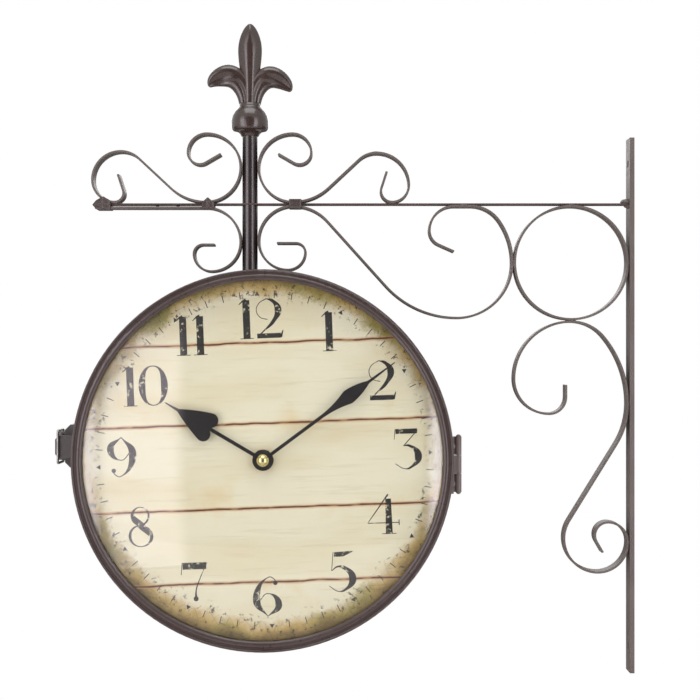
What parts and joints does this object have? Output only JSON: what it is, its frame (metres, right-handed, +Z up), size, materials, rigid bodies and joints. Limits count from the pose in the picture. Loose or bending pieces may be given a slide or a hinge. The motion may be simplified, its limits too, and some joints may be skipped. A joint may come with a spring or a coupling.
{
  "type": "wall clock",
  "caption": "Round double-sided wall clock with domed glasses on a scrolled iron wall bracket with a finial; the case opens on a hinge and a toggle catch, and the hands are geared.",
  "frame": {"origin": "on the wall face of the wall bar, midway between its two screw holes", "axes": "+Z up along the wall bar, +X out of the wall bar's back towards the wall, front dial faces -Y"},
  "size_m": [0.3765, 0.1, 0.4231],
  "materials": {
    "bracket_paint": "satin dark grey-brown paint on bent iron strip",
    "case_paint": "satin dark bronze paint on sheet steel",
    "steel": "plain bright steel",
    "glass": "clear domed glass",
    "seal": "black spacer ring",
    "dial_board": "matt print on board",
    "movement_plastic": "black moulded case",
    "gear_plastic": "natural white moulding",
    "brass": "bright turned brass",
    "copper_wire": "enamelled copper winding",
    "board": "green laminate",
    "cell": "plain printed sleeve",
    "hand_paint": "black paint on sheet metal"
  },
  "bodies": {
    "bracket_and_rear_case": {"wall_bar": "bracket_paint", "arm": "bracket_paint", "ring": "bracket_paint", "upper_right_scroll": "bracket_paint", "upper_left_scroll": "bracket_paint", "long_scroll": "bracket_paint", "lower_left_scroll": "bracket_paint", "lower_scroll": "bracket_paint", "collars": "bracket_paint", "weld_beads": "bracket_paint", "upper_post": "bracket_paint", "lower_post": "bracket_paint", "finial": "bracket_paint", "post_bolt": "steel", "rear_shell": "case_paint", "hinge_fixed_leaf": "case_paint", "hinge_pin": "steel", "hinge_fixed_screws": "steel", "latch_base": "case_paint", "latch_pin": "steel", "rear_bezel": "case_paint", "rear_glass": "glass", "rear_glass_seal": "seal", "rear_dial": "dial_board", "rear_movement_housing": "movement_plastic", "rear_movement_cover": "movement_plastic", "rear_mounting_nut": "brass", "rear_drive_coil": "copper_wire", "rear_circuit_board": "board", "rear_battery": "cell", "rear_battery_contacts": "steel"},
    "front_door": {"front_shell": "case_paint", "hinge_moving_leaf": "case_paint", "hinge_moving_screws": "steel", "latch_keeper": "case_paint", "front_bezel": "case_paint", "front_glass": "glass", "front_glass_seal": "seal", "front_dial": "dial_board", "front_movement_housing": "movement_plastic", "front_movement_cover": "movement_plastic", "front_mounting_nut": "brass", "front_drive_coil": "copper_wire", "front_circuit_board": "board", "front_battery": "cell", "front_battery_contacts": "steel"},
    "latch_lever": {"latch_lever": "case_paint"},
    "latch_bail": {"latch_bail": "steel"},
    "front_minute": {"front_minute_hand": "hand_paint", "front_minute_arbor": "brass", "front_cap_nut": "brass"},
    "front_hour": {"front_hour_hand": "hand_paint", "front_hour_wheel": "gear_plastic"},
    "front_set": {"front_set_arbor": "gear_plastic"},
    "rear_minute": {"rear_minute_hand": "hand_paint", "rear_minute_arbor": "brass", "rear_cap_nut": "brass"},
    "rear_hour": {"rear_hour_hand": "hand_paint", "rear_hour_wheel": "gear_plastic"},
    "rear_set": {"rear_set_arbor": "gear_plastic"}
  },
  "joints": [
    {"name": "door_swing", "type": "hinge", "parent": "bracket_and_rear_case", "child": "front_door", "pos_m": [-0.11453, -0.01, -0.03803], "axis": [0, 0, 1], "range_deg": [0, 95]},
    {"name": "latch_lever_turn", "type": "hinge", "parent": "bracket_and_rear_case", "child": "latch_lever", "pos_m": [-0.37253, -0.0027, -0.02633], "axis": [0, 0, 1], "range_deg": [0, 120]},
    {"name": "latch_bail_turn", "type": "hinge", "parent": "latch_lever", "child": "latch_bail", "pos_m": [-0.37253, 0.0023, -0.02633], "axis": [0, 0, 1], "range_deg": [-120, 0]},
    {"name": "front_minute_turn", "type": "hinge", "parent": "front_door", "child": "front_minute", "pos_m": [-0.24003, -0.0316, -0.03403], "axis": [0, 1, 0], "continuous": true},
    {"name": "front_hour_turn", "type": "hinge", "parent": "front_door", "child": "front_hour", "pos_m": [-0.24003, -0.0296, -0.03403], "axis": [0, 1, 0], "continuous": true},
    {"name": "front_set_turn", "type": "hinge", "parent": "front_door", "child": "front_set", "pos_m": [-0.24003, -0.0087, -0.02203], "axis": [0, 1, 0], "continuous": true},
    {"name": "rear_minute_turn", "type": "hinge", "parent": "bracket_and_rear_case", "child": "rear_minute", "pos_m": [-0.24003, 0.0316, -0.03403], "axis": [0, -1, 0], "continuous": true},
    {"name": "rear_hour_turn", "type": "hinge", "parent": "bracket_and_rear_case", "child": "rear_hour", "pos_m": [-0.24003, 0.0296, -0.03403], "axis": [0, -1, 0], "continuous": true},
    {"name": "rear_set_turn", "type": "hinge", "parent": "bracket_and_rear_case", "child": "rear_set", "pos_m": [-0.24003, 0.0087, -0.02203], "axis": [0, -1, 0], "continuous": true}
  ],
  "couplings": [
    {"joint": "latch_bail_turn", "follows": "latch_lever_turn", "ratio": -1},
    {"joint": "front_hour_turn", "follows": "front_minute_turn", "ratio": 0.083333},
    {"joint": "front_set_turn", "follows": "front_minute_turn", "ratio": -0.33333},
    {"joint": "rear_hour_turn", "follows": "rear_minute_turn", "ratio": 0.083333},
    {"joint": "rear_set_turn", "follows": "rear_minute_turn", "ratio": -0.33333}
  ]
}
